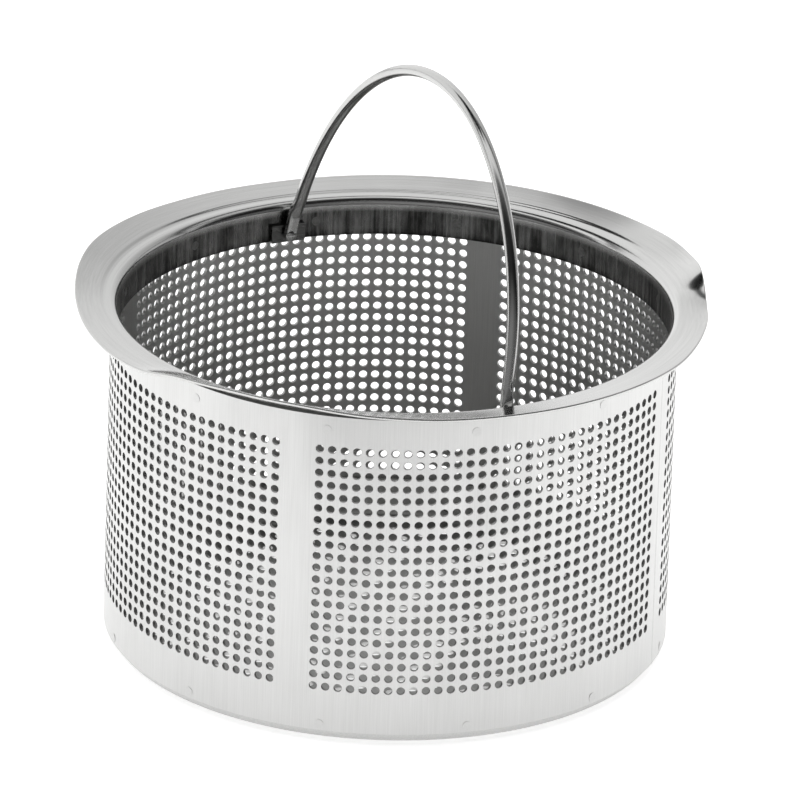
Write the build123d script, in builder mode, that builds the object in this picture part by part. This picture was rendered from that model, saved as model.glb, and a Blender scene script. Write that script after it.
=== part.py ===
from build123d import *
import os
from math import asin, cos, degrees, hypot, radians, sin, sqrt, tan

# Basket strainer with a folding bail, in millimetres.
#
# A spun collar carries a rolled, perforated sleeve, and a perforated pan closes its lower end. A wire
# bail swings on two rivets that stand on small plates inside the collar's neck.
#
# The origin is the middle of the underside, +Z is up, and the bail's pivots lie along X.

# Sheet and wire
SHEET = 0.8
WIRE_RADIUS = 1.45

# Sleeve: one rolled sheet with four fields of holes and four plain strips between them
BODY_RADIUS = 67.0
SLEEVE_BOTTOM = 2.8
SLEEVE_TOP = 82.4
FIELDS = 4
COLUMNS = 33
ROWS = 21
ROW_PITCH = 3.0
FIRST_ROW = 14.0
HOLE_RADIUS = 1.0
STRIP_PITCHES = 3.65  # from the last column of a field to the first of the next, in column pitches
SLEEVE_TURN = 2.4  # degrees from +X to the middle of the first field

# Collar: a flange that rises outwards, a rounded shoulder and a neck inside the sleeve
RIM_RADIUS = 75.5
RIM_TOP = 85.9
FLANGE_SLOPE = 10
SHOULDER_RADIUS = 2.0
NECK_BOTTOM = 74.9

# Pan: a flat floor, a rounded corner and a skirt inside the sleeve
SKIRT_TOP = 11.0
PAN_CORNER = 2.8
PAN_HOLE_RADIUS = 1.25
PAN_PITCH = 5.5
PAN_FIELD_RADIUS = 59.0

# Bail and its pivots
PIVOT_HEIGHT = 77.1
BAIL_RISE = 61.4  # from the pivots to the wire's centre at the top
BAIL_LEAN = 11.2  # degrees from upright towards +Y, where the pivots' friction holds it
EYE_WIDTH = 2.9
EYE_THICKNESS = 1.8
EYE_LENGTH = 5.0  # from the pivot to the middle of the flat's upper round
FLAT_END = 4.5  # height above the pivots where the flat starts to turn into the wire
WIRE_START = 10.0  # height above the pivots where the wire is fully round
EYE_OUTER_FACE = 64.0
PLATE_THICKNESS = 1.0
PLATE_WIDTH = 8.4
TUCK = 0.1  # the neck between flat and wire keeps this far inside both, so that it meets each at an edge
PIN_RADIUS = 0.7
PIN_CLEARANCE = 0.05
HEAD_RADIUS = 1.25
HEAD_HEIGHT = 0.5
HEAD_GAP = 0.15

# Welds: a seam down the sleeve and two rings of spot welds
WELD_RADIUS = 1.1
WELD_PROUD = 0.06
RING_WELDS = 12
FIRST_WELD = 6.0  # degrees past the seam
PAN_WELD_HEIGHT = 4.4
COLLAR_WELD_HEIGHT = 79.0
SEAM_WIDTH = 1.2

# Worked out from the values above
COLUMN_ANGLE = 360 / FIELDS / (COLUMNS - 1 + STRIP_PITCHES)
FIELD_ANGLE = COLUMNS * COLUMN_ANGLE
SLEEVE_INNER = BODY_RADIUS - SHEET
LINER_OUTER = SLEEVE_INNER * cos(radians(COLUMN_ANGLE / 2))  # touches the flats inside the sleeve
LINER_INNER = LINER_OUTER - SHEET
SEAM_ANGLE = SLEEVE_TURN + 180 / FIELDS
EYE_MIDDLE = EYE_OUTER_FACE - EYE_THICKNESS / 2
ARCH_SPREAD = EYE_OUTER_FACE - WIRE_RADIUS
ARCH_RADIUS = (ARCH_SPREAD**2 + BAIL_RISE**2) / (2 * BAIL_RISE)
ARCH_CENTRE = BAIL_RISE - ARCH_RADIUS
PLATE_INNER = LINER_INNER - PLATE_THICKNESS


def around(radius, angle, height=0.0):
    """A point at a radius, an angle from +X in degrees, and a height."""
    return Vector(radius * cos(radians(angle)), radius * sin(radians(angle)), height)


def radial_plane(radius, angle, height):
    """A plane on the wall at that point, facing outwards, with its x direction upwards."""
    return Plane(around(radius, angle, height), x_dir=(0, 0, 1), z_dir=around(1, angle))


def field_middle(field):
    """The angle of the middle of a field of holes."""
    return SLEEVE_TURN + field * 360 / FIELDS


def sleeve_outline(radius):
    """A closed outline: one flat for each column of holes, and an arc across each plain strip."""
    for field in range(FIELDS):
        start = field_middle(field) - FIELD_ANGLE / 2
        end = start + FIELD_ANGLE
        following = start + 360 / FIELDS
        Polyline(*[around(radius, start + column * COLUMN_ANGLE) for column in range(COLUMNS + 1)])
        ThreePointArc(
            around(radius, end),
            around(radius, (end + following) / 2),
            around(radius, following),
        )


def weld_planes(height):
    """Planes on the outside of the sleeve for one ring of spot welds."""
    first = SEAM_ANGLE + FIRST_WELD
    return [
        radial_plane(BODY_RADIUS, first + 360 * weld / RING_WELDS, height)
        for weld in range(RING_WELDS)
    ]


def cut_welds(planes):
    """Takes the weld nuggets out of the part being made."""
    with Locations(*planes):
        Cylinder(WELD_RADIUS, 4 * SHEET + 2 * WELD_PROUD, mode=Mode.SUBTRACT)


os.makedirs("parts", exist_ok=True)


# Collar -----------------------------------------------------------------------------------------
flange_drop = (RIM_RADIUS - LINER_INNER) * tan(radians(FLANGE_SLOPE))
under_drop = (RIM_RADIUS - LINER_OUTER) * tan(radians(FLANGE_SLOPE))
flange_depth = SHEET / cos(radians(FLANGE_SLOPE))
with BuildPart() as rim_collar:
    with BuildSketch(Plane.XZ) as collar_section:
        with BuildLine():
            Polyline(
                (LINER_INNER, NECK_BOTTOM),
                (LINER_INNER, RIM_TOP - flange_drop),
                (RIM_RADIUS, RIM_TOP),
                (RIM_RADIUS, RIM_TOP - flange_depth),
                (LINER_OUTER, RIM_TOP - flange_depth - under_drop),
                (LINER_OUTER, NECK_BOTTOM),
                close=True,
            )
        make_face()
        corners = collar_section.vertices().filter_by_position(
            Axis.X, LINER_INNER, LINER_OUTER
        ).sort_by(Axis.Y)[2:]
        fillet(corners.sort_by(Axis.X)[0], SHOULDER_RADIUS)
        fillet(corners.sort_by(Axis.X)[1], SHOULDER_RADIUS - SHEET)
    revolve(axis=Axis.Z)
    cut_welds(weld_planes(COLLAR_WELD_HEIGHT))
rim_collar.part.label = "rim_collar"
export_step(rim_collar.part, "parts/rim_collar.step")


# Sleeve -----------------------------------------------------------------------------------------
hole_radius_at_wall = (BODY_RADIUS - SHEET / 2) * cos(radians(COLUMN_ANGLE / 2))
hole_planes = [
    radial_plane(
        hole_radius_at_wall,
        field_middle(field) + (column - (COLUMNS - 1) / 2) * COLUMN_ANGLE,
        FIRST_ROW + row * ROW_PITCH,
    )
    for field in range(FIELDS)
    for column in range(COLUMNS)
    for row in range(ROWS)
]
with BuildPart() as strainer_sleeve:
    with BuildSketch(Plane.XY.offset(SLEEVE_BOTTOM)):
        with BuildLine():
            sleeve_outline(BODY_RADIUS)
        make_face()
        with BuildLine():
            sleeve_outline(SLEEVE_INNER)
        make_face(mode=Mode.SUBTRACT)
    extrude(amount=SLEEVE_TOP - SLEEVE_BOTTOM)
    with Locations(*hole_planes):
        Cylinder(HOLE_RADIUS, 4 * SHEET, mode=Mode.SUBTRACT)
    with Locations(radial_plane(BODY_RADIUS - SHEET / 2, SEAM_ANGLE, (SLEEVE_BOTTOM + SLEEVE_TOP) / 2)):
        Box(SLEEVE_TOP, SEAM_WIDTH, 4 * SHEET, mode=Mode.SUBTRACT)
    cut_welds(weld_planes(PAN_WELD_HEIGHT))
    cut_welds(weld_planes(COLLAR_WELD_HEIGHT))
strainer_sleeve.part.label = "strainer_sleeve"
export_step(strainer_sleeve.part, "parts/strainer_sleeve.step")


# Seam weld that closes the rolled sleeve ----------------------------------------------------------
with BuildPart() as seam_weld:
    with BuildSketch(Plane.XY.offset(SLEEVE_BOTTOM)):
        with Locations(Location(around(BODY_RADIUS - SHEET / 2, SEAM_ANGLE), SEAM_ANGLE)):
            Rectangle(SHEET, SEAM_WIDTH)
    extrude(amount=SLEEVE_TOP - SLEEVE_BOTTOM)
seam_weld.part.label = "seam_weld"
export_step(seam_weld.part, "parts/seam_weld.step")


# Pan ----------------------------------------------------------------------------------------------
pan_steps = int(PAN_FIELD_RADIUS // PAN_PITCH)
pan_offsets = [PAN_PITCH * (n + 0.5) for n in range(-pan_steps - 1, pan_steps + 1)]
pan_holes = [(x, y) for x in pan_offsets for y in pan_offsets if hypot(x, y) < PAN_FIELD_RADIUS]
with BuildPart() as base_pan:
    with BuildSketch(Plane.XZ) as pan_section:
        with BuildLine():
            Polyline(
                (0, 0),
                (LINER_OUTER, 0),
                (LINER_OUTER, SKIRT_TOP),
                (LINER_INNER, SKIRT_TOP),
                (LINER_INNER, SHEET),
                (0, SHEET),
                close=True,
            )
        make_face()
        fillet(pan_section.vertices().sort_by_distance((LINER_OUTER, 0))[0], PAN_CORNER)
        fillet(pan_section.vertices().sort_by_distance((LINER_INNER, SHEET))[0], PAN_CORNER - SHEET)
    revolve(axis=Axis.Z)
    with Locations(*pan_holes):
        Cylinder(PAN_HOLE_RADIUS, 4 * SHEET, mode=Mode.SUBTRACT)
    cut_welds(weld_planes(PAN_WELD_HEIGHT))
base_pan.part.label = "base_pan"
export_step(base_pan.part, "parts/base_pan.step")


# Spot welds ---------------------------------------------------------------------------------------
def make_nuggets(name, planes):
    """A group of nuggets, each through the sleeve and the sheet behind it, a little proud outside."""
    depth = BODY_RADIUS - LINER_INNER + 2 * WELD_PROUD
    with BuildPart() as nuggets:
        with Locations(*[plane.offset(WELD_PROUD - depth / 2) for plane in planes]):
            Cylinder(WELD_RADIUS, depth)
    nuggets.part.label = name
    export_step(nuggets.part, f"parts/{name}.step")


make_nuggets("base_spot_welds", weld_planes(PAN_WELD_HEIGHT))
make_nuggets("collar_spot_welds", weld_planes(COLLAR_WELD_HEIGHT))


# Bail ---------------------------------------------------------------------------------------------
lean_up = Vector(0, sin(radians(BAIL_LEAN)), cos(radians(BAIL_LEAN)))
bail_plane = Plane((0, 0, PIVOT_HEIGHT), x_dir=(1, 0, 0), z_dir=Vector(1, 0, 0).cross(lean_up))
start_x = sqrt(ARCH_RADIUS**2 - (WIRE_START - ARCH_CENTRE) ** 2)
start_turn = asin((WIRE_START - ARCH_CENTRE) / ARCH_RADIUS)
with BuildPart() as bail_handle:
    with BuildLine(bail_plane) as arch:
        ThreePointArc((start_x, WIRE_START), (0, BAIL_RISE), (-start_x, WIRE_START))
    with BuildSketch(Plane(arch.line @ 0, z_dir=arch.line % 0)):
        Circle(WIRE_RADIUS)
    sweep(path=arch.line)
    for side in (1, -1):
        eye_plane = Plane(
            bail_plane.from_local_coords((side * (EYE_MIDDLE - EYE_THICKNESS / 2), 0, 0)),
            x_dir=lean_up,
            z_dir=(side, 0, 0),
        )
        with BuildSketch(eye_plane):
            with Locations((EYE_LENGTH / 2, 0)):
                SlotCenterToCenter(EYE_LENGTH, EYE_WIDTH)
        extrude(amount=EYE_THICKNESS)
        flat_point = bail_plane.from_local_coords((side * EYE_MIDDLE, FLAT_END, 0))
        with BuildSketch(Plane(flat_point, x_dir=(1, 0, 0), z_dir=lean_up)) as flat_section:
            Ellipse(EYE_THICKNESS / 2 - TUCK, EYE_WIDTH / 2 - TUCK)
        wire_end = bail_plane.from_local_coords((side * start_x, WIRE_START, 0))
        across_wire = Vector(cos(start_turn), 0, 0) + lean_up * side * sin(start_turn)
        along_wire = Vector(-side * sin(start_turn), 0, 0) + lean_up * cos(start_turn)
        wire_point = wire_end + along_wire * TUCK
        with BuildSketch(Plane(wire_point, x_dir=across_wire, z_dir=along_wire)) as wire_section:
            Circle(WIRE_RADIUS - TUCK)
        loft([flat_section.sketch, wire_section.sketch])
        with Locations(Plane(eye_plane.origin, z_dir=(1, 0, 0))):
            Cylinder(PIN_RADIUS + PIN_CLEARANCE, 4 * EYE_THICKNESS, mode=Mode.SUBTRACT)
bail_handle.part.label = "bail_handle"
export_step(bail_handle.part, "parts/bail_handle.step")


# Pivot plates and rivets ------------------------------------------------------------------------------
def make_pivot(place, side):
    """One plate on the inside of the neck and the rivet that stands on it, on the +X or -X side."""
    half_turn = degrees(asin(PLATE_WIDTH / 2 / PLATE_INNER))
    plate_height = 2 * (PIVOT_HEIGHT - NECK_BOTTOM)
    middle = 0 if side > 0 else 180
    with BuildPart() as plate:
        with BuildSketch(Plane.XZ.rotated((0, 0, middle - half_turn))):
            with Locations(((PLATE_INNER + LINER_INNER) / 2, PIVOT_HEIGHT)):
                Rectangle(PLATE_THICKNESS, plate_height)
        revolve(axis=Axis.Z, revolution_arc=2 * half_turn)
        with Locations(radial_plane(PLATE_INNER, middle, PIVOT_HEIGHT)):
            Cylinder(PIN_RADIUS, 4 * PLATE_THICKNESS, mode=Mode.SUBTRACT)
    plate.part.label = f"pivot_plate_{place}"
    export_step(plate.part, f"parts/pivot_plate_{place}.step")

    head_face = EYE_OUTER_FACE - EYE_THICKNESS - HEAD_GAP
    tail = PLATE_INNER + PLATE_THICKNESS / 2
    head_sphere = (HEAD_RADIUS**2 + HEAD_HEIGHT**2) / (2 * HEAD_HEIGHT)
    with BuildPart() as rivet:
        with BuildSketch(Plane.XZ):
            with BuildLine():
                Polyline(
                    (side * (head_face - HEAD_HEIGHT), PIVOT_HEIGHT),
                    (side * tail, PIVOT_HEIGHT),
                    (side * tail, PIVOT_HEIGHT + PIN_RADIUS),
                    (side * head_face, PIVOT_HEIGHT + PIN_RADIUS),
                    (side * head_face, PIVOT_HEIGHT + HEAD_RADIUS),
                )
                RadiusArc(
                    (side * head_face, PIVOT_HEIGHT + HEAD_RADIUS),
                    (side * (head_face - HEAD_HEIGHT), PIVOT_HEIGHT),
                    -side * head_sphere,
                )
            make_face()
        revolve(axis=Axis((0, 0, PIVOT_HEIGHT), (1, 0, 0)))
    rivet.part.label = f"pivot_rivet_{place}"
    export_step(rivet.part, f"parts/pivot_rivet_{place}.step")


make_pivot("front", 1)
make_pivot("back", -1)
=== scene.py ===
# %% [markdown]
# # A basket strainer, finished for its picture
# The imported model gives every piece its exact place, so this file only makes the surfaces finer
# and gives each one its metal. It works in metres, and the values below are in millimetres.

import bpy
import numpy as np
from mathutils import Matrix


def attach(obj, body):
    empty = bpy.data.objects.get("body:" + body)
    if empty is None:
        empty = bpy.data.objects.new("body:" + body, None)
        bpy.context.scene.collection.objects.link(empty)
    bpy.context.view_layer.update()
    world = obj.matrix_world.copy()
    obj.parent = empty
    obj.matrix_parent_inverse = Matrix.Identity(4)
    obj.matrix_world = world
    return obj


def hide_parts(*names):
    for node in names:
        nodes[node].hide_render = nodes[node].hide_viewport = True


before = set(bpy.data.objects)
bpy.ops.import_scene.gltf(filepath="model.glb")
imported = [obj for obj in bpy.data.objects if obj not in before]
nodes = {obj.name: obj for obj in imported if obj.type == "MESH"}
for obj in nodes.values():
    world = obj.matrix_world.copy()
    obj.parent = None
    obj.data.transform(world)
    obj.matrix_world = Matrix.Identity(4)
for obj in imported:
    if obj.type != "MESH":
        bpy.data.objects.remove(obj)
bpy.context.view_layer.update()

# %% [markdown]
# ## From numbers to a mesh
# Every new piece is a set of points and faces worked out as whole arrays. Points could be placed
# one at a time with bmesh, but 2772 holes would take minutes. One helper hands the arrays over,
# and one more joins the rows and columns of a grid into four-sided faces.

# %% A mesh from arrays
MM = 0.001


def make_piece(name, points_mm, face_groups, normals=None):
    """An object whose mesh has those points, in millimetres, and each group's faces: a group is
    an array with one row of point numbers a face. normals, if given, has one row a face corner."""
    corners = np.concatenate([group.ravel() for group in face_groups]).astype(np.int32)
    sizes = np.concatenate([np.full(len(group), group.shape[1]) for group in face_groups])
    mesh = bpy.data.meshes.new(name)
    mesh.vertices.add(len(points_mm))
    mesh.vertices.foreach_set("co", (np.asarray(points_mm) * MM).astype(np.float32).ravel())
    mesh.loops.add(len(corners))
    mesh.loops.foreach_set("vertex_index", corners)
    mesh.polygons.add(len(sizes))
    mesh.polygons.foreach_set("loop_start", (np.cumsum(sizes) - sizes).astype(np.int32))
    mesh.polygons.foreach_set("use_smooth", np.ones(len(sizes), dtype=bool))
    mesh.update(calc_edges=True)
    if normals is not None:
        mesh.normals_split_custom_set(normals)
    piece = bpy.data.objects.new(name, mesh)
    bpy.context.scene.collection.objects.link(piece)
    print(name, len(points_mm), "points", int((sizes - 2).sum()), "triangles")
    return piece


def grid_faces(rows, columns, close_rows=False, close_columns=False):
    """Faces between neighbours of a rows by columns grid numbered row by row. A closed direction
    joins its last line back to its first."""
    row = np.arange(rows if close_rows else rows - 1)[:, None]
    column = np.arange(columns if close_columns else columns - 1)[None, :]
    next_row, next_column = (row + 1) % rows, (column + 1) % columns
    return np.stack(
        [
            row * columns + column,
            row * columns + next_column,
            next_row * columns + next_column,
            next_row * columns + column,
        ],
        axis=-1,
    ).reshape(-1, 4)


def unit(vectors):
    """Each vector divided by its own length."""
    return vectors / np.linalg.norm(vectors, axis=-1, keepdims=True)


# %% [markdown]
# ## The punched sleeve
# The real sleeve is one strip of stainless sheet, punched flat in four fields of 33 by 21 holes,
# rolled and welded down its seam. Cutting the holes with a Boolean would leave long thin
# triangles that spoil a shiny wall. Here every hole has a small square cell of its own, the cells
# meet edge to edge, and each corner of a face is told that the wall's normal is exactly radial,
# so the wall shines like one round sheet.

# %% The sleeve's lattice
SHEET = 0.8
BODY_RADIUS = 67.0
SLEEVE_BOTTOM, SLEEVE_TOP = 2.8, 82.4
FIELDS, COLUMNS, ROWS = 4, 33, 21
ROW_PITCH = 3.0
FIRST_ROW = 14.0
HOLE_RADIUS = 1.0
STRIP_PITCHES = 3.65
SLEEVE_TURN = 2.4
HOLE_SIDES = 12

column_angle = 2 * np.pi / FIELDS / (COLUMNS - 1 + STRIP_PITCHES)
seam_angle = np.radians(SLEEVE_TURN) + np.pi / FIELDS

# Column edges in pitches from the start of a field: 33 cells, then the plain strip in thirds.
strip_steps = COLUMNS + (STRIP_PITCHES - 1) * np.arange(1, 3) / 3
field_edges = np.concatenate([np.arange(COLUMNS + 1), strip_steps])
field_starts = np.radians(SLEEVE_TURN) - COLUMNS / 2 * column_angle + np.arange(FIELDS) * np.pi / 2
edge_angles = (field_starts[:, None] + field_edges * column_angle).ravel()
per_field = len(field_edges)

bottom_edges = np.linspace(SLEEVE_BOTTOM, FIRST_ROW - ROW_PITCH / 2, 4)
punched_edges = FIRST_ROW + ROW_PITCH * (np.arange(ROWS) + 0.5)
top_edges = np.linspace(punched_edges[-1], SLEEVE_TOP, 4)[1:]
edge_heights = np.concatenate([bottom_edges, punched_edges, top_edges])
print("lattice", len(edge_angles), "by", len(edge_heights))


# %% The sleeve's cells
def on_wall(angle, height, depth):
    """A point of the wall: the radius is the body's less the depth, turned by the angle."""
    radius = BODY_RADIUS - depth
    return np.stack(
        np.broadcast_arrays(radius * np.cos(angle), radius * np.sin(angle), height), axis=-1
    )


around_count, up_count = len(edge_angles), len(edge_heights)
lattice_angle, lattice_height = np.meshgrid(edge_angles, edge_heights)
cells = grid_faces(up_count, around_count, close_columns=True).reshape(
    up_count - 1, around_count, 4
)
is_punched = np.zeros((up_count - 1, around_count), dtype=bool)
first_punched = len(bottom_edges) - 1
is_column = np.arange(around_count) % per_field < COLUMNS
is_punched[first_punched : first_punched + ROWS, is_column] = True
plain_cells, punched_cells = cells[~is_punched], cells[is_punched]
print(len(plain_cells), "plain cells and", len(punched_cells), "punched ones")

# %% The sleeve's points
hole_turn = 2 * np.pi * np.arange(HOLE_SIDES) / HOLE_SIDES
# The twelve-sided hole has the round one's area, so it lets the same light through.
side_radius = HOLE_RADIUS * np.sqrt(
    2 * np.pi / (HOLE_SIDES * np.sin(2 * np.pi / HOLE_SIDES))
)
cell_row, cell_column = np.nonzero(is_punched)
hole_angle = edge_angles[cell_column] + column_angle / 2
hole_height = edge_heights[cell_row] + ROW_PITCH / 2
ring_angle = hole_angle[:, None] + side_radius * np.cos(hole_turn) / BODY_RADIUS
ring_height = hole_height[:, None] + side_radius * np.sin(hole_turn)

skin_count = around_count * up_count + ring_angle.size
skins = [
    np.concatenate(
        [
            on_wall(lattice_angle, lattice_height, depth).reshape(-1, 3),
            on_wall(ring_angle, ring_height, depth).reshape(-1, 3),
        ]
    )
    for depth in (0.0, SHEET)
]
rings = around_count * up_count + np.arange(ring_angle.size).reshape(-1, HOLE_SIDES)
print(2 * skin_count, "points on two skins")

# %% The sleeve's faces
# Corners of a cell run lower left, lower right, upper right, upper left. A side's triangle ends
# on the hole's point that faces it, and three more fan out from each corner.
quarter = HOLE_SIDES // 4
lower_left, lower_right, upper_right, upper_left = punched_cells.T
sides = [
    (lower_right, upper_right, rings[:, 0]),
    (upper_right, upper_left, rings[:, quarter]),
    (upper_left, lower_left, rings[:, 2 * quarter]),
    (lower_left, lower_right, rings[:, 3 * quarter]),
]
fans = [
    (rings[:, first], apex, rings[:, (first + 1) % HOLE_SIDES])
    for corner, apex in enumerate((upper_right, upper_left, lower_left, lower_right))
    for first in range(corner * quarter, (corner + 1) * quarter)
]
triangles = np.concatenate([np.stack(three, axis=-1) for three in sides + fans])
next_in_ring = np.roll(rings, -1, axis=1)
hole_walls = np.stack(
    [rings, next_in_ring, next_in_ring + skin_count, rings + skin_count], axis=-1
).reshape(-1, 4)

column = np.arange(around_count)
next_column = (column + 1) % around_count
top_line = (up_count - 1) * around_count
bottom_rim = np.stack(
    [next_column, column, column + skin_count, next_column + skin_count], axis=-1
)
top_rim = top_line + np.stack(
    [column, next_column, next_column + skin_count, column + skin_count], axis=-1
)

sleeve_points = np.concatenate(skins)
sleeve_groups = [
    plain_cells,
    triangles,
    plain_cells[:, ::-1] + skin_count,
    triangles[:, ::-1] + skin_count,
    hole_walls,
    bottom_rim,
    top_rim,
]
print(sum(len(group) for group in sleeve_groups), "faces")


# %% Normals of the sleeve
def radial(points):
    """The direction straight out from the axis at each point."""
    return unit(points * (1.0, 1.0, 0.0))


# A hole's wall faces the hole's own middle, so its normal is the ring's turn, reversed.
round_wall = np.stack([-np.sin(hole_angle), np.cos(hole_angle), 0 * hole_angle], axis=-1)
turn_cosine, turn_sine = np.cos(hole_turn)[None, :, None], np.sin(hole_turn)[None, :, None]
into_hole = -(turn_cosine * round_wall[:, None, :] + turn_sine * np.array([0.0, 0.0, 1.0]))
next_into_hole = np.roll(into_hole, -1, axis=1)
wall_normals = np.stack(
    [into_hole, next_into_hole, next_into_hole, into_hole], axis=2
).reshape(-1, 3)
sleeve_normals = np.concatenate(
    [
        radial(sleeve_points[plain_cells.ravel()]),
        radial(sleeve_points[triangles.ravel()]),
        -radial(sleeve_points[sleeve_groups[2].ravel()]),
        -radial(sleeve_points[sleeve_groups[3].ravel()]),
        wall_normals,
        np.tile([0.0, 0.0, -1.0], (bottom_rim.size, 1)),
        np.tile([0.0, 0.0, 1.0], (top_rim.size, 1)),
    ]
)
sleeve = make_piece("punched_sleeve", sleeve_points, sleeve_groups, sleeve_normals)
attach(sleeve, "basket")
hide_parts("strainer_sleeve")

# %% [markdown]
# ## The seam
# The sleeve's two ends are welded edge to edge and then ground nearly flush, which leaves a low
# band that catches the light differently. It is a grid of its own: the radius rises by a few
# hundredths of a millimetre at its middle and ripples a little, as a ground bead does.

# %% The seam's bead
SEAM_WIDTH = 1.2
SEAM_PROUD = 0.07
SEAM_SHORT = 0.05
RIPPLE, RIPPLE_PITCH = 0.25, 1.7

across, up = np.meshgrid(np.linspace(-1, 1, 13), np.linspace(0, 1, 240))
bead_height = SLEEVE_BOTTOM + SEAM_SHORT + (SLEEVE_TOP - SLEEVE_BOTTOM - 2 * SEAM_SHORT) * up
uneven = 1.5 * np.sin(bead_height / 5)
ripple = 1 + RIPPLE * np.sin(2 * np.pi * bead_height / RIPPLE_PITCH + uneven)
swell = SEAM_PROUD * (1 - across**2) * ripple
bead_angle = seam_angle + SEAM_WIDTH / 2 / BODY_RADIUS * across
outer_skin = on_wall(bead_angle, bead_height, -swell)
inner_skin = on_wall(bead_angle, bead_height, SHEET + swell)
bead_loop = np.concatenate([outer_skin, inner_skin[:, ::-1]], axis=1)
bead_rows, bead_columns = bead_loop.shape[:2]
bead_faces = grid_faces(bead_rows, bead_columns, close_columns=True)
lower_end = np.arange(bead_columns)[::-1][None, :]
upper_end = np.arange(bead_columns)[None, :] + (bead_rows - 1) * bead_columns
seam = make_piece("seam_bead", bead_loop.reshape(-1, 3), [bead_faces, lower_end, upper_end])
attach(seam, "basket")
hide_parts("seam_weld")

# %% [markdown]
# ## The collar
# The collar is spun from one disc: a neck inside the sleeve, a rounded shoulder, and a flange
# that rises outwards. Its section could be drawn as a curve and turned with a Screw modifier, but
# the real flange isn't quite flat, because it has been knocked in use. So the section is carried
# round as a grid, and a wave that grows from the shoulder to the edge lifts and lowers it.

# %% The collar's section
NECK_BOTTOM = 74.9
RIM_TOP = 85.9
RIM_RADIUS = 75.5
SHOULDER_RADIUS = 2.0
EDGE_ROUND = 0.3
slope = np.radians(10)
liner_outer = (BODY_RADIUS - SHEET) * np.cos(column_angle / 2)
liner_inner = liner_outer - SHEET
print("neck from radius", round(liner_inner, 2), "to", round(liner_outer, 2), "mm")


# %% Lines of the section
def arc(centre, radius, start, end, count):
    """Points on an arc of a circle in the section, with angles in degrees."""
    turn = np.radians(np.linspace(start, end, count))
    return np.stack([centre[0] + radius * np.cos(turn), centre[1] + radius * np.sin(turn)], axis=-1)


def run(start, end, count):
    """Points along a straight line, without its two ends."""
    return np.linspace(start, end, count + 2)[1:-1]


corner_height = RIM_TOP - (RIM_RADIUS - liner_inner) * np.tan(slope)
shoulder_centre = (
    liner_inner + SHOULDER_RADIUS,
    corner_height + SHOULDER_RADIUS * np.tan(slope) - SHOULDER_RADIUS / np.cos(slope),
)
crest = arc(shoulder_centre, SHOULDER_RADIUS, 180, 100, 17)
hollow = arc(shoulder_centre, SHOULDER_RADIUS - SHEET, 100, 180, 11)
edge_centre_radius = RIM_RADIUS - EDGE_ROUND
upper_centre_height = RIM_TOP - EDGE_ROUND * np.tan(slope) - EDGE_ROUND / np.cos(slope)
upper_edge_centre = (edge_centre_radius, upper_centre_height)
lower_centre_height = upper_centre_height - (SHEET - 2 * EDGE_ROUND) / np.cos(slope)
lower_edge_centre = (edge_centre_radius, lower_centre_height)
upper_edge = arc(upper_edge_centre, EDGE_ROUND, 100, 0, 7)
lower_edge = arc(lower_edge_centre, EDGE_ROUND, 0, -80, 7)
foot_centre = ((liner_inner + liner_outer) / 2, NECK_BOTTOM + SHEET / 2)
foot = arc(foot_centre, SHEET / 2, 0, -180, 11)
section = np.concatenate(
    [
        crest,
        run(crest[-1], upper_edge[0], 46),
        upper_edge,
        lower_edge,
        run(lower_edge[-1], hollow[0], 16),
        hollow,
        run(hollow[-1], foot[0], 8),
        foot,
        run(foot[-1], crest[0], 14),
    ]
)
print("collar section", len(section), "points")


# %% The spinning mark
def ease(value):
    """From 0 to 1 with no kink at either end: three times the square less twice the cube."""
    value = np.clip(value, 0, 1)
    return value * value * (3 - 2 * value)


# The spinner's roller leaves a step down as the flange goes inwards, which then fills up again.
MARK_RADIUS, MARK_DEPTH = 69.5, 0.22
MARK_STEP, MARK_FILL = 0.6, 1.6
radius, height = section.T
step_down = ease((MARK_RADIUS - radius) / MARK_STEP)
fill_up = ease((radius - BODY_RADIUS) / MARK_FILL)
mark = np.where(height > shoulder_centre[1], MARK_DEPTH * (step_down * fill_up), 0)
print("mark", round(mark.max(), 3), "mm deep")

# %% The collar's wave
# Degrees round the collar, and there how many millimetres its edge stands above a true circle.
WAVE = [
    (0, 0.3), (35, -0.3), (46, -0.3), (58, -1.0), (71, -2.7), (79, 2.7), (88, 1.6), (94, 1.9),
    (105, 1.4), (130, 1.0), (180, 0.3), (200, 0.8), (215, 1.8), (230, 2.8), (240, 2.2),
    (250, 0.4), (262, -0.9), (275, -1.4), (286, -0.8), (294, 1.8), (306, 2.6), (320, 2.3),
    (331, 1.2), (345, 0.4),
]
# The same for how many millimetres the bent edge is drawn in towards the axis.
DRAWN_IN = [(0, 0), (40, 0), (48, 0.8), (56, 1.4), (70, 1.5), (78, 1.2), (84, 0.3), (90, 0)]
# The share of the spinning mark's depth: it fades out over the right and the front.
MARK_SHARE = [(0, 0), (96, 0), (118, 1), (238, 1), (262, 0)]


def wave_at(angle, table, width=2.2, step=0.5):
    """A smooth line round the collar: every angle takes the mean of the straight line between
    the table's values near it, weighted by a bell of that width in degrees."""
    at, value = np.array(table, dtype=float).T
    fine = np.arange(-360, 720, step)
    line = np.interp(fine % 360, np.append(at, 360), np.append(value, value[0]))
    bell = np.exp(-0.5 * (np.arange(-20, 20 + step, step) / width) ** 2)
    return np.interp(angle, fine, np.convolve(line, bell / bell.sum(), mode="same"))


# %% The collar's mesh
STILL_WIDTH = 1
REACH_POWER = 1.15

collar_turn = np.linspace(0, 360, 450, endpoint=False)
edge_lift = wave_at(collar_turn, WAVE)[:, None]
edge_draw = wave_at(collar_turn, DRAWN_IN)[:, None]
mark_share = wave_at(collar_turn, MARK_SHARE)[:, None]
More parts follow.
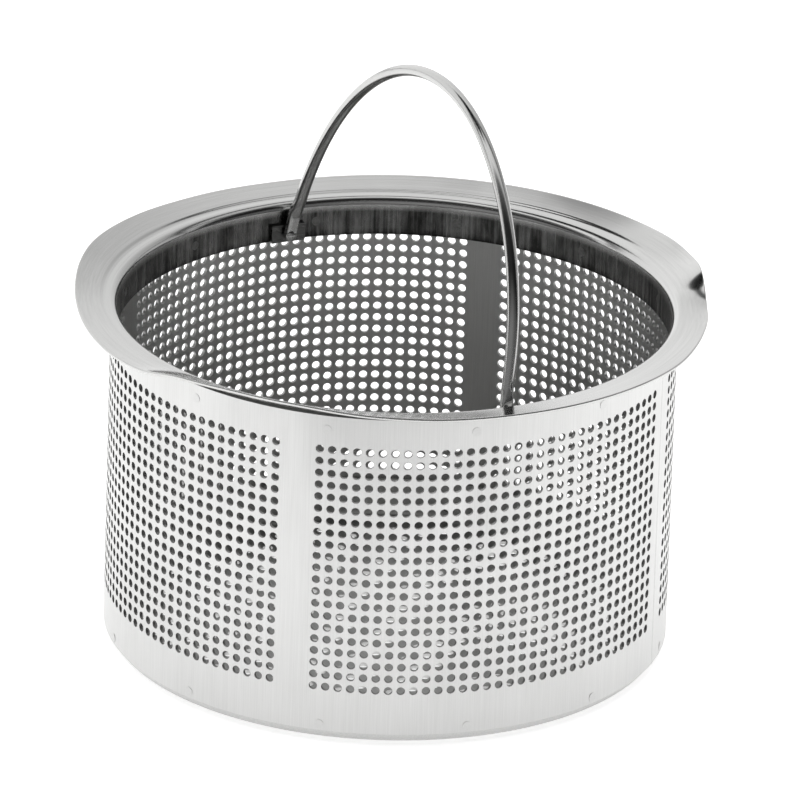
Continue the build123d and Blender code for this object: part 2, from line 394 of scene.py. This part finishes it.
# The wave is nought as far as a millimetre outside the neck and grows from there to the edge.
still_radius = liner_outer + STILL_WIDTH
reach = np.clip((radius - still_radius) / (RIM_RADIUS - still_radius), 0, 1) ** REACH_POWER
turn = np.radians(collar_turn)[:, None]
drawn_radius = radius - reach * edge_draw
collar_points = np.stack(
    [
        drawn_radius * np.cos(turn),
        drawn_radius * np.sin(turn),
        height - mark_share * mark + reach * edge_lift,
    ],
    axis=-1,
)
collar_faces = grid_faces(len(collar_turn), len(section), close_rows=True, close_columns=True)
collar = make_piece("spun_collar", collar_points.reshape(-1, 3), [collar_faces])
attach(collar, "basket")
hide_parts("rim_collar")

# %% [markdown]
# ## The bail
# The bail is one drawn wire, bent to an arch, with each end hammered flat and drilled for its
# rivet. A bevelled curve would keep one round section, so the wire is a grid instead: a section
# is carried along the arch, and near the ends it goes from a circle to a thin rounded bar.

# %% The bail's path and section
PIVOT_HEIGHT = 77.1
BAIL_RISE = 61.4
BAIL_LEAN = np.radians(11.2)
WIRE_RADIUS = 1.45
EYE_OUTER_FACE = 64.0
EYE_THICKNESS = 1.8
EYE_WIDTH = 2.9
FLAT_END, WIRE_START = 4.5, 10.0
SECTION_POINTS = 40

eye_middle = EYE_OUTER_FACE - EYE_THICKNESS / 2
arch_spread = EYE_OUTER_FACE - WIRE_RADIUS
arch_radius = (arch_spread**2 + BAIL_RISE**2) / (2 * BAIL_RISE)
arch_centre = BAIL_RISE - arch_radius
start_angle = np.arcsin((WIRE_START - arch_centre) / arch_radius)
arch_turn = np.linspace(start_angle, np.pi - start_angle, 181)
arch_line = np.stack(
    [arch_radius * np.cos(arch_turn), arch_centre + arch_radius * np.sin(arch_turn)], axis=-1
)
print("arch radius", round(arch_radius, 2), "mm")

# %% Along the legs
tip = -EYE_WIDTH / 2
tip_rise = tip * np.cos(np.linspace(0, np.pi / 2, 14))
leg_rise = np.concatenate([tip_rise, np.linspace(0.3, WIRE_START - 0.15, 46)])
leg_out = np.sqrt(arch_radius**2 - (leg_rise - arch_centre) ** 2)
flatness = ease((WIRE_START - leg_rise) / (WIRE_START - FLAT_END))
leg_out = leg_out + (eye_middle - leg_out) * flatness
leg_line = np.stack([leg_out, leg_rise], axis=-1)
bail_line = np.concatenate([leg_line, arch_line, leg_line[::-1] * (-1, 1)])

# The section's two half widths: round on the arch, flat and square in the legs, and closing to
# a point at the tip.
no_flat = np.zeros(len(arch_line))
bail_flatness = np.concatenate([flatness, no_flat, flatness[::-1]])
half_thick = WIRE_RADIUS + (EYE_THICKNESS / 2 - WIRE_RADIUS) * bail_flatness
half_wide = WIRE_RADIUS + (EYE_WIDTH / 2 - WIRE_RADIUS) * bail_flatness
rise = bail_line[:, 1]
at_tip = np.clip(1 - (rise / tip) ** 2, 0, 1) ** 0.5
half_wide = np.where(rise < 0, half_wide * at_tip, half_wide)
half_thick = np.where(rise < 0, half_thick * at_tip**0.35, half_thick)
squareness = 2 + 3 * bail_flatness
print("bail path", len(bail_line), "points")


# %% The bail's mesh
def power_circle(turn, power):
    """A circle whose sine and cosine are raised to 2 / power: 2 is round, more is squarer."""
    cosine, sine = np.cos(turn), np.sin(turn)
    return (
        np.sign(cosine) * np.abs(cosine) ** (2 / power),
        np.sign(sine) * np.abs(sine) ** (2 / power),
    )


lean_up = np.array([0.0, np.sin(BAIL_LEAN), np.cos(BAIL_LEAN)])
sideways = np.array([0.0, -np.cos(BAIL_LEAN), np.sin(BAIL_LEAN)])
bail_path = (
    np.array([0, 0, PIVOT_HEIGHT])
    + bail_line[:, :1] * (1.0, 0.0, 0.0)
    + bail_line[:, 1:] * lean_up
)
along = unit(np.gradient(bail_path, axis=0))
outward = unit(np.cross(along, sideways))
section_turn = np.linspace(0, 2 * np.pi, SECTION_POINTS, endpoint=False)
thick_part, wide_part = power_circle(section_turn[None, :], squareness[:, None])
bail_points = (
    bail_path[:, None, :]
    + (half_thick[:, None] * thick_part)[:, :, None] * outward[:, None, :]
    + (half_wide[:, None] * wide_part)[:, :, None] * sideways
)
bail_faces = grid_faces(len(bail_path), SECTION_POINTS, close_columns=True)
bail = make_piece("wire_bail", bail_points.reshape(-1, 3), [bail_faces])
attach(bail, "bail")
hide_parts("bail_handle")

# %% [markdown]
# ## Nodes and colours
# Every metal here is stainless steel, and how it was worked changes how it looks, while the dark
# neck, the dark plates and the sleeve's darker inside are painted shade. Each material starts from
# the same neutral grey and differs in roughness, in the direction of its grain and in how deep
# that grain is. A metal reflects with its base colour, so that colour is the steel's own
# reflectance, and its IOR stays at the default.

# %% Helpers for materials
STEEL = "#C8C8C7"
# Most of a noise's values lie between these two, so a full change of tone is spread over them.
NOISE_LOW, NOISE_HIGH = 0.3, 0.7


def linear(hex_colour):
    """An sRGB hex colour as the linear RGBA that shaders use: each channel is divided by 12.92
    when dark, and otherwise raised to 2.4 after adding 0.055 and dividing by 1.055."""
    channels = np.array([int(hex_colour[i : i + 2], 16) for i in (1, 3, 5)]) / 255
    light = np.where(channels <= 0.04045, channels / 12.92, ((channels + 0.055) / 1.055) ** 2.4)
    return (*light, 1.0)


def add_node(tree, kind, settings=None, **inputs):
    """A node of that kind. settings are its own properties. An input named in words takes a
    value, or a link if it is another node's output, and _0, _1 name an input by its number."""
    node = tree.nodes.new("ShaderNode" + kind)
    for name, value in (settings or {}).items():
        setattr(node, name, value)
    for name, value in inputs.items():
        socket = node.inputs[int(name[1:]) if name[0] == "_" else name.replace("_", " ")]
        if isinstance(value, bpy.types.NodeSocket):
            tree.links.new(value, socket)
        else:
            socket.default_value = value
    return node


def new_steel(name, colour=STEEL):
    """A new metal material, its node tree and its shader."""
    material = bpy.data.materials.new(name)
    material.use_nodes = True
    tree = material.node_tree
    shader = tree.nodes["Principled BSDF"]
    shader.inputs["Base Color"].default_value = linear(colour)
    shader.inputs["Metallic"].default_value = 1.0
    return material, tree, shader


def give(material, *pieces):
    """Those pieces wear that material alone."""
    for piece in pieces:
        piece.data.materials.clear()
        piece.data.materials.append(material)


print("plain steel is", np.round(linear(STEEL)[0], 3), "in linear light")


# %% Patterns
def grain(tree, scale, detail=3.0):
    """Noise on Object coordinates with its own scale along x, y and z, in cycles a metre. On an
    upright wall a small z scale draws it out into upright streaks."""
    place = add_node(tree, "TexCoord").outputs["Object"]
    spread = add_node(tree, "Mapping", {"vector_type": "POINT"}, Vector=place, Scale=scale)
    return add_node(
        tree, "TexNoise", Vector=spread.outputs["Vector"], Scale=1.0, Detail=detail, Roughness=0.6
    ).outputs["Fac"]


def from_axis(tree):
    """The distance from the strainer's upright axis, in metres: the length of a point's place
    once its height is made nought."""
    place = add_node(tree, "TexCoord").outputs["Object"]
    flat = add_node(tree, "VectorMath", {"operation": "MULTIPLY"}, _0=place, _1=(1, 1, 0))
    return add_node(
        tree, "VectorMath", {"operation": "LENGTH"}, _0=flat.outputs["Vector"]
    ).outputs["Value"]


def ring_grain(tree, per_metre, drift=30.0):
    """Noise that hardly changes round the axis: its place is the distance from the axis and the
    height, times per_metre, and x times drift, so that a ring fades in and out."""
    parts = add_node(tree, "SeparateXYZ", Vector=add_node(tree, "TexCoord").outputs["Object"])
    out = add_node(tree, "Math", {"operation": "MULTIPLY"}, _0=from_axis(tree), _1=per_metre)
    high = add_node(tree, "Math", {"operation": "MULTIPLY"}, _0=parts.outputs["Z"], _1=per_metre)
    wander = add_node(tree, "Math", {"operation": "MULTIPLY"}, _0=parts.outputs["X"], _1=drift)
    joined = add_node(
        tree, "CombineXYZ", X=out.outputs[0], Y=high.outputs[0], Z=wander.outputs[0]
    )
    return add_node(
        tree, "TexNoise", Vector=joined.outputs[0], Scale=1.0, Detail=3.0, Roughness=0.6
    ).outputs["Fac"]


def blend(tree, value, before, after, start=NOISE_LOW, end=NOISE_HIGH):
    """One colour where the value is below start and another where it is above end, with an even
    change between them. Each is a hex colour or another node's output."""
    share = add_node(
        tree, "MapRange", Value=value, From_Min=start, From_Max=end, To_Min=0, To_Max=1
    )
    first, last = [linear(tone) if isinstance(tone, str) else tone for tone in (before, after)]
    return add_node(
        tree, "Mix", {"data_type": "RGBA"}, _0=share.outputs["Result"], _6=first, _7=last
    ).outputs[2]


def work(tree, shader, rough_pattern, roughness, bump_pattern, depth_mm):
    """Gives a surface its working: roughness runs between the pair of values as its pattern runs
    over the noise's range, and the surface rises by the other pattern times a depth."""
    rough = add_node(
        tree,
        "MapRange",
        Value=rough_pattern,
        From_Min=NOISE_LOW,
        From_Max=NOISE_HIGH,
        To_Min=roughness[0],
        To_Max=roughness[1],
    )
    bump = add_node(tree, "Bump", Strength=1.0, Distance=depth_mm * MM, Height=bump_pattern)
    tree.links.new(rough.outputs["Result"], shader.inputs["Roughness"])
    tree.links.new(bump.outputs["Normal"], shader.inputs["Normal"])


print("pattern helpers are ready")

# %% [markdown]
# ## Rolled and punched sheet
# The sleeve is cold-rolled stainless sheet with the mill's satin finish: a fine grain about a
# tenth of a millimetre wide runs up the wall, drawn here at 0.25 mm so that it shows, over broad
# soft patches from rolling and handling. Three tones meet at the radii of the wall's skins: the
# sheet's own outside, painted shade on the inside, and darker painted shade on the holes' walls.

# %% Satin punched sheet
# Cold-rolled stainless sheet, satin: the eye sees a pale, soft sheen with a faint upright grain.
sheet_steel, tree, shader = new_steel("satin_punched_sheet")
fine = grain(tree, (4000, 4000, 60))
broad = grain(tree, (45, 45, 30), detail=2.0)
outside = blend(tree, fine, "#CCCCCB", "#D4D4D3")
# The inside face is the same sheet, painted darker as shade within the basket.
inside_painted_shade = blend(tree, fine, "#B2B2B1", "#BCBCBB")
# A punched hole's wall is dull sheared steel, painted dark as shade, so it frames each hole darkly.
hole_wall_painted_shade = linear("#989897")
inner_skin_radius = BODY_RADIUS - SHEET
cut_from, cut_fully = (inner_skin_radius + 0.02) * MM, (inner_skin_radius + 0.06) * MM
skin_from, skin_fully = (BODY_RADIUS - 0.08) * MM, (BODY_RADIUS - 0.04) * MM
inner_painted_shade = blend(tree, from_axis(tree), inside_painted_shade, hole_wall_painted_shade, cut_from, cut_fully)
tree.links.new(
    blend(tree, from_axis(tree), inner_painted_shade, outside, skin_from, skin_fully),
    shader.inputs["Base Color"],
)
work(tree, shader, broad, (0.30, 0.42), fine, 0.0025)
give(sheet_steel, sleeve)
print("satin sheet on", sleeve.name)

# %% [markdown]
# ## Spun steel
# Spinning leaves faint rings round the flange. The neck was scrubbed upright so that it slides
# into the sleeve, and its dark, mottled colour, darkest at its foot, is painted shade. The
# material tells them apart by height, and changes from one to the other over the shoulder.

# %% Spun collar
# Spun stainless, nearly polished on the flange: the eye sees clear broad reflections there, and
# a dark, mottled, streaky band of painted shade on the neck.
NECK_FULLY, FLANGE_FULLY = 0.0810, 0.0830
# The foot of the neck is painted darker as shade over the first two heights, by the third value,
# and the last pair spreads the mottle of the neck's painted shade.
FOOT_LINE, FOOT_FADED = 0.0749, 0.0768
FOOT_SHADE_AMOUNT = 0.35
MOTTLE_FROM, MOTTLE_FULLY = 0.15, 0.36

spun_steel, tree, shader = new_steel("satin_spun_steel")
rings_value = ring_grain(tree, 2500)
streaks = grain(tree, (900, 900, 25), detail=4.0)
place_height = add_node(
    tree, "SeparateXYZ", Vector=add_node(tree, "TexCoord").outputs["Object"]
).outputs["Z"]
on_flange = add_node(
    tree, "MapRange", Value=place_height, From_Min=NECK_FULLY, From_Max=FLANGE_FULLY
).outputs["Result"]

# %% The collar's roughness and grain
neck_rough = add_node(
    tree,
    "MapRange",
    Value=streaks,
    From_Min=NOISE_LOW,
    From_Max=NOISE_HIGH,
    To_Min=0.14,
    To_Max=0.34,
).outputs["Result"]
flange_rough = add_node(
    tree,
    "MapRange",
    Value=grain(tree, (60, 60, 60), detail=2.0),
    From_Min=NOISE_LOW,
    From_Max=NOISE_HIGH,
    To_Min=0.13,
    To_Max=0.2,
).outputs["Result"]
rough = add_node(
    tree, "Mix", {"data_type": "FLOAT"}, _0=on_flange, _2=neck_rough, _3=flange_rough
)
mixed = add_node(
    tree, "Mix", {"data_type": "FLOAT"}, _0=on_flange, _2=streaks, _3=rings_value
).outputs[0]
bump = add_node(tree, "Bump", Strength=1.0, Distance=0.0007 * MM, Height=mixed)
tree.links.new(rough.outputs[0], shader.inputs["Roughness"])
tree.links.new(bump.outputs["Normal"], shader.inputs["Normal"])

# %% The collar's tones
flange_shade = blend(tree, mixed, "#C4C4C3", "#CCCCCB")
# The neck's colour is painted shade for the mouth that it lines, blotched by two noises.
shade_blotches = grain(tree, (220, 220, 90), detail=4.0)
shade_mottle = add_node(tree, "Math", {"operation": "MULTIPLY"}, _0=streaks, _1=shade_blotches).outputs[0]
# The foot of the neck is painted darker still, as shade at its lower edge.
foot_painted_shade = add_node(
    tree,
    "MapRange",
    Value=place_height,
    From_Min=FOOT_LINE,
    From_Max=FOOT_FADED,
    To_Min=FOOT_SHADE_AMOUNT,
    To_Max=0,
).outputs["Result"]
shade_mottle_share = add_node(
    tree, "MapRange", Value=shade_mottle, From_Min=MOTTLE_FROM, From_Max=MOTTLE_FULLY
).outputs["Result"]
painted_shade_lightness = add_node(tree, "Math", {"operation": "SUBTRACT"}, _0=shade_mottle_share, _1=foot_painted_shade).outputs[0]
# The neck's painted shade runs from near black to mid grey.
neck_painted_shade = blend(tree, painted_shade_lightness, "#343433", "#848483", 0, 1)
tree.links.new(
    blend(tree, on_flange, neck_painted_shade, flange_shade, 0, 1), shader.inputs["Base Color"]
)
give(spun_steel, collar)
print("spun steel on", collar.name)

# %% [markdown]
# ## Drawn wire
# Wire is pulled through a die, which polishes it along its length. It is the smoothest metal on
# the strainer and shows the room as thin lines.

# %% Polished wire
# Drawn stainless wire: the eye sees sharp light and dark lines that run along it.
wire_steel, tree, shader = new_steel("polished_drawn_wire", "#BEBEBD")
soft = grain(tree, (500, 500, 120))
work(tree, shader, soft, (0.12, 0.2), soft, 0.003)
give(wire_steel, bail)
print("drawn wire on", bail.name)

# %% [markdown]
# ## Pan, plates, rivets and welds
# These stay the CAD's own nodes, because their shapes are right. The pan is pressed from the
# same sheet as the sleeve and keeps the sheet's straight grain. The plates are cut from strip,
# the rivets are turned, and each spot weld is a small dull disc on either side of the sheets.

# %% The pan
# Pressed stainless sheet, satin: the eye sees a flat floor with a straight grain across it.
pan_steel, tree, shader = new_steel("pressed_satin_sheet")
straight = grain(tree, (60, 3000, 3000))
pressed = grain(tree, (40, 40, 40), detail=2.0)
tree.links.new(blend(tree, straight, "#C0C0BF", "#CDCDCC"), shader.inputs["Base Color"])
work(tree, shader, pressed, (0.3, 0.44), straight, 0.004)

# %% Plates and rivets
# Cold-rolled strip painted dark as shade inside the neck: the eye sees a dark plate with a level
# grain.
strip_steel, tree, shader = new_steel("cut_strip_painted_shade", "#6E6E6D")
strip_grain = grain(tree, (800, 60, 2500))
work(tree, shader, strip_grain, (0.22, 0.4), strip_grain, 0.005)

# Turned rivets with a peened head: the eye sees a small bright spot that breaks up the light.
rivet_steel, tree, shader = new_steel("turned_rivet_steel", "#CECECD")
rivet_grain = grain(tree, (1500, 1500, 1500))
work(tree, shader, rivet_grain, (0.14, 0.28), rivet_grain, 0.004)

# %% Welds
# Resistance welds flushed off outside and left inside: the eye hardly sees the outer disc, and
# sees a darker, blotched one on the inner wall.
INNER_END, OUTER_END = 0.0655, 0.0665
weld_steel, tree, shader = new_steel("resistance_weld_steel")
blotch = grain(tree, (1600, 1600, 1600), detail=4.0)
outer_end = blend(tree, blotch, "#CACAC9", "#D2D2D1")
inner_end = blend(tree, blotch, "#6A6A69", "#8A8A89")
tree.links.new(
    blend(tree, from_axis(tree), inner_end, outer_end, INNER_END, OUTER_END),
    shader.inputs["Base Color"],
)
work(tree, shader, blotch, (0.3, 0.42), blotch, 0.01)

# %% Who wears what
give(pan_steel, nodes["base_pan"])
give(strip_steel, nodes["pivot_plate_front"], nodes["pivot_plate_back"])
give(rivet_steel, nodes["pivot_rivet_front"], nodes["pivot_rivet_back"])
give(weld_steel, nodes["base_spot_welds"], nodes["collar_spot_welds"], seam)
print("finishes on", len(nodes), "nodes")

# %% [markdown]
# ## Floor and light
# Polished steel shows only what is around it, so the light is the room: a sky that is bright
# overhead and beyond the strainer and dark behind the camera, a white floor that the upright
# wall mirrors, and a dark card out of sight that draws the wire's dark line.

# %% The floor
# White matt paper, lit a little from below as on a light table: the eye sees plain white with
# hardly a shadow.
FLOOR_HALF = 4
FLOOR_DROP = 0.0001

floor_mesh = bpy.data.meshes.new("floor")
floor_corners = [(-1, -1), (1, -1), (1, 1), (-1, 1)]
floor_mesh.from_pydata(
    [(x * FLOOR_HALF, y * FLOOR_HALF, -FLOOR_DROP) for x, y in floor_corners], [], [(0, 1, 2, 3)]
)
floor = bpy.data.objects.new("floor", floor_mesh)
bpy.context.scene.collection.objects.link(floor)
paper = bpy.data.materials.new("white_matt_paper")
paper.use_nodes = True
tree = paper.node_tree
paper_shader = tree.nodes["Principled BSDF"]
paper_shader.inputs["Base Color"].default_value = linear("#F4F4F4")
paper_shader.inputs["Roughness"].default_value = 0.9
paper_shader.inputs["Specular IOR Level"].default_value = 0.2
paper_shader.inputs["Emission Color"].default_value = linear("#FFFFFF")
paper_shader.inputs["Emission Strength"].default_value = 0.6
# From below the paper is clear, so that the strainer's underside can be looked at.
from_below = add_node(tree, "NewGeometry").outputs["Backfacing"]
clear = add_node(tree, "BsdfTransparent").outputs["BSDF"]
sided = add_node(tree, "MixShader", _0=from_below, _1=paper_shader.outputs["BSDF"], _2=clear)
tree.links.new(sided.outputs["Shader"], tree.nodes["Material Output"].inputs["Surface"])
give(paper, floor)
print("floor", 2 * FLOOR_HALF, "m across")

# %% The camera's directions
VIEW_TURN = np.radians(66.0)
VIEW_RISE = np.radians(22.9)
VIEW_ROLL = np.radians(1.83)
VIEW_DISTANCE = 3.0
LENS = 569.8
AIM = np.array([0.0, 0.0, 0.044])
AIM_RIGHT, AIM_UP = 0.00243, 0.01409

to_camera = np.array(
    [
        np.sin(VIEW_TURN) * np.cos(VIEW_RISE),
        -np.cos(VIEW_TURN) * np.cos(VIEW_RISE),
        np.sin(VIEW_RISE),
    ]
)
level_right = np.array([np.cos(VIEW_TURN), np.sin(VIEW_TURN), 0.0])
level_up = np.cross(to_camera, level_right)
view_right = level_right * np.cos(VIEW_ROLL) + level_up * np.sin(VIEW_ROLL)
view_up = level_up * np.cos(VIEW_ROLL) - level_right * np.sin(VIEW_ROLL)
toward = unit(to_camera * (1, 1, 0))
print("the camera looks from", to_camera.round(3))

# %% The sky
# Degrees from the camera's horizon, up over the strainer and down to the far horizon, and how
# bright the sky is there.
SKY = [
    (0, 0.3), (30, 0.3), (48, 0.03), (70, 0.03), (86, 0.2), (93, 1.2), (111, 1.2), (114.5, 0.1),
    (121, 0.1), (127, 1.1), (180, 1.25),
]

world = bpy.data.worlds.new("studio")
bpy.context.scene.world = world
world.use_nodes = True
tree = world.node_tree
looking = add_node(tree, "TexCoord").outputs["Generated"]
nearness = add_node(
    tree, "VectorMath", {"operation": "DOT_PRODUCT"}, _0=looking, _1=tuple(toward)
).outputs["Value"]
up_part = add_node(tree, "SeparateXYZ", Vector=looking).outputs["Z"]
rising = add_node(tree, "Math", {"operation": "ARCTAN2"}, _0=up_part, _1=nearness).outputs[0]
overhead = add_node(
    tree, "MapRange", Value=rising, From_Min=0, From_Max=np.pi, To_Min=0, To_Max=1
).outputs["Result"]
sky = add_node(tree, "ValToRGB", Fac=overhead)
ramp = sky.color_ramp
for degrees, brightness in SKY[1:-1]:
    ramp.elements.new(degrees / 180)
for element, (degrees, brightness) in zip(ramp.elements, SKY):
    element.position = degrees / 180
    element.color = (brightness, brightness, brightness, 1)
print("sky with", len(ramp.elements), "stops")

# %% The room's darker parts
SPOT_RISE, SPOT_ASIDE = np.radians(120), -0.42
SPOT_CORE, SPOT_EDGE = np.radians(14), np.radians(15.5)
SPOT_BRIGHTNESS = 0.02

# The far right of the room is darker than the far left.
sideways_part = add_node(
    tree, "VectorMath", {"operation": "DOT_PRODUCT"}, _0=looking, _1=tuple(level_right)
).outputs["Value"]
side_light = add_node(
    tree, "MapRange", Value=sideways_part, From_Min=-0.2, From_Max=0.6, To_Min=1.0, To_Max=0.5
).outputs["Result"]
# Something dark stands high up behind the strainer, a little to the left, and the dent at the
# right of the flange mirrors it.
dark_spot = unit(np.cos(SPOT_RISE) * toward + (0, 0, np.sin(SPOT_RISE)) + SPOT_ASIDE * level_right)
to_spot = add_node(
    tree, "VectorMath", {"operation": "DOT_PRODUCT"}, _0=looking, _1=tuple(dark_spot)
).outputs["Value"]
off_spot = add_node(
    tree,
    "MapRange",
    Value=to_spot,
    From_Min=np.cos(SPOT_CORE),
    From_Max=np.cos(SPOT_EDGE),
    To_Min=SPOT_BRIGHTNESS,
    To_Max=1,
).outputs["Result"]
spotted = add_node(tree, "Math", {"operation": "MULTIPLY"}, _0=side_light, _1=off_spot)
sky_light = add_node(
    tree,
    "VectorMath",
    {"operation": "SCALE"},
    _0=sky.outputs["Color"],
    Scale=spotted.outputs["Value"],
).outputs["Vector"]
tree.links.new(sky_light, tree.nodes["Background"].inputs["Color"])


# %% The light and the card
def set_place(thing, axes, place):
    """Puts a thing at a place, with its own x, y and z along the columns of axes."""
    thing.matrix_world = Matrix([(*row, at) for row, at in zip(axes, place)] + [(0, 0, 0, 1)])


LIGHT_HEIGHT, LIGHT_SIZE, LIGHT_POWER = 1.5, 2.5, 22
CARD_NEAR, CARD_FAR, CARD_HALF, CARD_LIFT = 0.31, 1.4, 1.5, 0.002

light = bpy.data.lights.new("floor_light", "AREA")
light.shape = "SQUARE"
light.size = LIGHT_SIZE
light.energy = LIGHT_POWER
floor_light = bpy.data.objects.new("floor_light", light)
bpy.context.scene.collection.objects.link(floor_light)
set_place(
    floor_light, np.stack([-level_right, toward, (0, 0, 1)], axis=1), (0, 0, LIGHT_HEIGHT)
)
floor_light.visible_glossy = False

card_corners = [
    (CARD_NEAR, -CARD_HALF), (CARD_NEAR, CARD_HALF), (CARD_FAR, CARD_HALF), (CARD_FAR, -CARD_HALF)
]
card_mesh = bpy.data.meshes.new("dark_card")
card_mesh.from_pydata(
    [
        tuple(near * toward + aside * level_right + (0, 0, CARD_LIFT))
        for near, aside in card_corners
    ],
    [],
    [(0, 1, 2, 3)],
)
dark_card = bpy.data.objects.new("dark_card", card_mesh)
bpy.context.scene.collection.objects.link(dark_card)
# Black felt gives back almost no light, so steel that mirrors it shows a black line.
felt = bpy.data.materials.new("black_felt")
felt.use_nodes = True
felt_shader = felt.node_tree.nodes["Principled BSDF"]
felt_shader.inputs["Base Color"].default_value = linear("#101010")
felt_shader.inputs["Roughness"].default_value = 1.0
give(felt, dark_card)
dark_card.visible_camera = False
dark_card.visible_diffuse = False
dark_card.visible_shadow = False
print("one soft light and one dark card")

# %% The camera
camera_data = bpy.data.cameras.new("camera")
camera_data.sensor_width = 36
camera_data.lens = LENS
camera_data.clip_end = 20
camera = bpy.data.objects.new("camera", camera_data)
bpy.context.scene.collection.objects.link(camera)
stand = AIM + AIM_RIGHT * view_right + AIM_UP * view_up + VIEW_DISTANCE * to_camera
set_place(camera, np.stack([view_right, view_up, to_camera], axis=1), stand)
bpy.context.scene.camera = camera
bpy.context.scene.view_settings.view_transform = "Standard"
print("camera at", stand.round(3))
